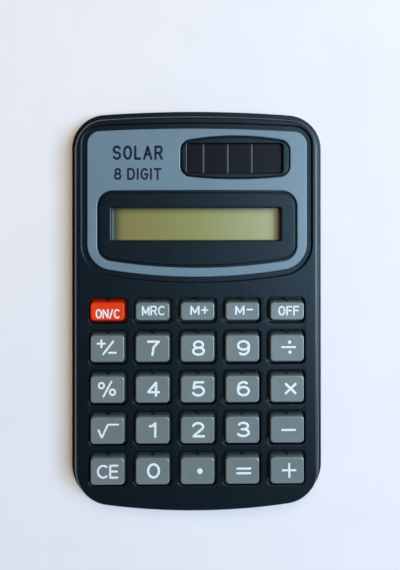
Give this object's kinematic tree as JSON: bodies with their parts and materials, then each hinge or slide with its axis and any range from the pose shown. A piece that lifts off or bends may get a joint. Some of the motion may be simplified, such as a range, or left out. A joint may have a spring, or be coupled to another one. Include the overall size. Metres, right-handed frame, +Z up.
{
  "type": "pocket calculator",
  "caption": "Dual-power pocket calculator: two-part case, display and solar cell in a raised plate, and separate keys that press down on a rubber dome sheet.",
  "frame": {"origin": "centre of the back, on the surface that the calculator lies on", "axes": "+X to the right of the keypad, +Y towards the display end, +Z up out of the keys"},
  "size_m": [0.0622, 0.0992, 0.0103],
  "materials": {
    "case_rear": "fine spark-eroded texture",
    "case_front": "fine spark-eroded texture",
    "bezel": "satin",
    "adhesive": "dull film",
    "polariser": "smooth film",
    "lcd_glass": "polished",
    "reflector": "fine grain",
    "elastomer": "dull",
    "foam": "open cell",
    "solar": "glossy",
    "lead_red": "smooth sleeve",
    "lead_black": "smooth sleeve",
    "board": "solder mask over laminate",
    "carbon": "printed carbon",
    "resin": "cured drop",
    "capacitor": "moulded",
    "silicone": "translucent, dull",
    "cell_steel": "satin",
    "contact_brass": "rolled strip",
    "contact_steel": "rolled strip",
    "screw_steel": "zinc plated",
    "key_red": "satin gloss",
    "key_grey": "satin gloss"
  },
  "bodies": {
    "body": {"rear_case": "case_rear", "front_case": "case_front", "bezel_plate": "bezel", "bezel_adhesive": "adhesive", "lcd_front_polariser": "polariser", "lcd_front_glass": "lcd_glass", "lcd_rear_glass": "lcd_glass", "lcd_reflector": "reflector", "lcd_zebra_strip": "elastomer", "lcd_support_foam": "foam", "solar_cell": "solar", "solar_lead_red": "lead_red", "solar_lead_black": "lead_black", "circuit_board": "board", "key_contacts": "carbon", "controller_chip": "resin", "reservoir_capacitor": "capacitor", "clamp_diode": "resin", "dome_sheet": "silicone", "button_cell": "cell_steel", "cell_contact_negative": "contact_brass", "cell_contact_positive": "contact_steel", "case_screws": "screw_steel", "board_screws": "screw_steel"},
    "key_on_clear": {"key_on_clear": "key_red"},
    "key_memory_recall": {"key_memory_recall": "key_grey"},
    "key_memory_add": {"key_memory_add": "key_grey"},
    "key_memory_subtract": {"key_memory_subtract": "key_grey"},
    "key_off": {"key_off": "key_grey"},
    "key_change_sign": {"key_change_sign": "key_grey"},
    "key_7": {"key_7": "key_grey"},
    "key_8": {"key_8": "key_grey"},
    "key_9": {"key_9": "key_grey"},
    "key_divide": {"key_divide": "key_grey"},
    "key_percent": {"key_percent": "key_grey"},
    "key_4": {"key_4": "key_grey"},
    "key_5": {"key_5": "key_grey"},
    "key_6": {"key_6": "key_grey"},
    "key_multiply": {"key_multiply": "key_grey"},
    "key_square_root": {"key_square_root": "key_grey"},
    "key_1": {"key_1": "key_grey"},
    "key_2": {"key_2": "key_grey"},
    "key_3": {"key_3": "key_grey"},
    "key_subtract": {"key_subtract": "key_grey"},
    "key_clear_entry": {"key_clear_entry": "key_grey"},
    "key_0": {"key_0": "key_grey"},
    "key_point": {"key_point": "key_grey"},
    "key_equals": {"key_equals": "key_grey"},
    "key_add": {"key_add": "key_grey"}
  },
  "joints": [
    {"name": "key_on_clear_press", "type": "slide", "parent": "body", "child": "key_on_clear", "axis": [0, 0, -1], "range_m": [0, 0.0008], "stiffness_N_per_m": 400, "springref_m": -0.0002, "deforming": ["dome_sheet"]},
    {"name": "key_memory_recall_press", "type": "slide", "parent": "body", "child": "key_memory_recall", "axis": [0, 0, -1], "range_m": [0, 0.0008], "stiffness_N_per_m": 400, "springref_m": -0.0002, "deforming": ["dome_sheet"]},
    {"name": "key_memory_add_press", "type": "slide", "parent": "body", "child": "key_memory_add", "axis": [0, 0, -1], "range_m": [0, 0.0008], "stiffness_N_per_m": 400, "springref_m": -0.0002, "deforming": ["dome_sheet"]},
    {"name": "key_memory_subtract_press", "type": "slide", "parent": "body", "child": "key_memory_subtract", "axis": [0, 0, -1], "range_m": [0, 0.0008], "stiffness_N_per_m": 400, "springref_m": -0.0002, "deforming": ["dome_sheet"]},
    {"name": "key_off_press", "type": "slide", "parent": "body", "child": "key_off", "axis": [0, 0, -1], "range_m": [0, 0.0008], "stiffness_N_per_m": 400, "springref_m": -0.0002, "deforming": ["dome_sheet"]},
    {"name": "key_change_sign_press", "type": "slide", "parent": "body", "child": "key_change_sign", "axis": [0, 0, -1], "range_m": [0, 0.0008], "stiffness_N_per_m": 400, "springref_m": -0.0002, "deforming": ["dome_sheet"]},
    {"name": "key_7_press", "type": "slide", "parent": "body", "child": "key_7", "axis": [0, 0, -1], "range_m": [0, 0.0008], "stiffness_N_per_m": 400, "springref_m": -0.0002, "deforming": ["dome_sheet"]},
    {"name": "key_8_press", "type": "slide", "parent": "body", "child": "key_8", "axis": [0, 0, -1], "range_m": [0, 0.0008], "stiffness_N_per_m": 400, "springref_m": -0.0002, "deforming": ["dome_sheet"]},
    {"name": "key_9_press", "type": "slide", "parent": "body", "child": "key_9", "axis": [0, 0, -1], "range_m": [0, 0.0008], "stiffness_N_per_m": 400, "springref_m": -0.0002, "deforming": ["dome_sheet"]},
    {"name": "key_divide_press", "type": "slide", "parent": "body", "child": "key_divide", "axis": [0, 0, -1], "range_m": [0, 0.0008], "stiffness_N_per_m": 400, "springref_m": -0.0002, "deforming": ["dome_sheet"]},
    {"name": "key_percent_press", "type": "slide", "parent": "body", "child": "key_percent", "axis": [0, 0, -1], "range_m": [0, 0.0008], "stiffness_N_per_m": 400, "springref_m": -0.0002, "deforming": ["dome_sheet"]},
    {"name": "key_4_press", "type": "slide", "parent": "body", "child": "key_4", "axis": [0, 0, -1], "range_m": [0, 0.0008], "stiffness_N_per_m": 400, "springref_m": -0.0002, "deforming": ["dome_sheet"]},
    {"name": "key_5_press", "type": "slide", "parent": "body", "child": "key_5", "axis": [0, 0, -1], "range_m": [0, 0.0008], "stiffness_N_per_m": 400, "springref_m": -0.0002, "deforming": ["dome_sheet"]},
    {"name": "key_6_press", "type": "slide", "parent": "body", "child": "key_6", "axis": [0, 0, -1], "range_m": [0, 0.0008], "stiffness_N_per_m": 400, "springref_m": -0.0002, "deforming": ["dome_sheet"]},
    {"name": "key_multiply_press", "type": "slide", "parent": "body", "child": "key_multiply", "axis": [0, 0, -1], "range_m": [0, 0.0008], "stiffness_N_per_m": 400, "springref_m": -0.0002, "deforming": ["dome_sheet"]},
    {"name": "key_square_root_press", "type": "slide", "parent": "body", "child": "key_square_root", "axis": [0, 0, -1], "range_m": [0, 0.0008], "stiffness_N_per_m": 400, "springref_m": -0.0002, "deforming": ["dome_sheet"]},
    {"name": "key_1_press", "type": "slide", "parent": "body", "child": "key_1", "axis": [0, 0, -1], "range_m": [0, 0.0008], "stiffness_N_per_m": 400, "springref_m": -0.0002, "deforming": ["dome_sheet"]},
    {"name": "key_2_press", "type": "slide", "parent": "body", "child": "key_2", "axis": [0, 0, -1], "range_m": [0, 0.0008], "stiffness_N_per_m": 400, "springref_m": -0.0002, "deforming": ["dome_sheet"]},
    {"name": "key_3_press", "type": "slide", "parent": "body", "child": "key_3", "axis": [0, 0, -1], "range_m": [0, 0.0008], "stiffness_N_per_m": 400, "springref_m": -0.0002, "deforming": ["dome_sheet"]},
    {"name": "key_subtract_press", "type": "slide", "parent": "body", "child": "key_subtract", "axis": [0, 0, -1], "range_m": [0, 0.0008], "stiffness_N_per_m": 400, "springref_m": -0.0002, "deforming": ["dome_sheet"]},
    {"name": "key_clear_entry_press", "type": "slide", "parent": "body", "child": "key_clear_entry", "axis": [0, 0, -1], "range_m": [0, 0.0008], "stiffness_N_per_m": 400, "springref_m": -0.0002, "deforming": ["dome_sheet"]},
    {"name": "key_0_press", "type": "slide", "parent": "body", "child": "key_0", "axis": [0, 0, -1], "range_m": [0, 0.0008], "stiffness_N_per_m": 400, "springref_m": -0.0002, "deforming": ["dome_sheet"]},
    {"name": "key_point_press", "type": "slide", "parent": "body", "child": "key_point", "axis": [0, 0, -1], "range_m": [0, 0.0008], "stiffness_N_per_m": 400, "springref_m": -0.0002, "deforming": ["dome_sheet"]},
    {"name": "key_equals_press", "type": "slide", "parent": "body", "child": "key_equals", "axis": [0, 0, -1], "range_m": [0, 0.0008], "stiffness_N_per_m": 400, "springref_m": -0.0002, "deforming": ["dome_sheet"]},
    {"name": "key_add_press", "type": "slide", "parent": "body", "child": "key_add", "axis": [0, 0, -1], "range_m": [0, 0.0008], "stiffness_N_per_m": 400, "springref_m": -0.0002, "deforming": ["dome_sheet"]}
  ]
}
